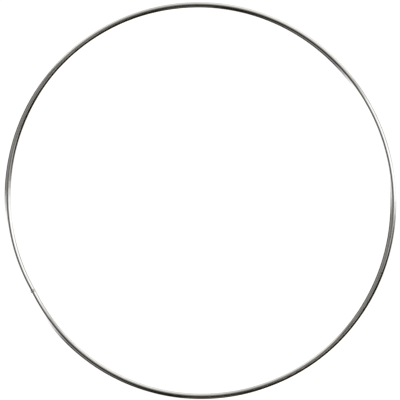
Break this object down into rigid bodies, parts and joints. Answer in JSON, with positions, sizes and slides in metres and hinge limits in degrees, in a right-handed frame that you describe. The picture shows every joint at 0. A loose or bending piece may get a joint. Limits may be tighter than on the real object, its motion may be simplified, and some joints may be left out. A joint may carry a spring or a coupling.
{
  "type": "wreath frame",
  "caption": "Thin round wire hoop, butt-welded closed, used as the base ring that flowers, foliage or ribbon are bound to for a wreath or hanging decoration.",
  "frame": {"origin": "middle of the ring's outline, in the mid-plane of the wire", "axes": "+Z through the ring, along its axis; +X and +Y in the plane of the ring, with the weld in the direction 208 degrees counter-clockwise from +X seen from +Z"},
  "size_m": [0.1988, 0.2014, 0.0032],
  "materials": {
    "plated_wire": "bright nickel-toned plating on drawn steel wire, with faint die lines along the wire",
    "weld_metal": "forged and dressed weld metal under the same plating, slightly darker and rougher than the wire"
  },
  "bodies": {
    "root": {"hoop_wire": "plated_wire", "butt_weld": "weld_metal"}
  },
  "joints": []
}
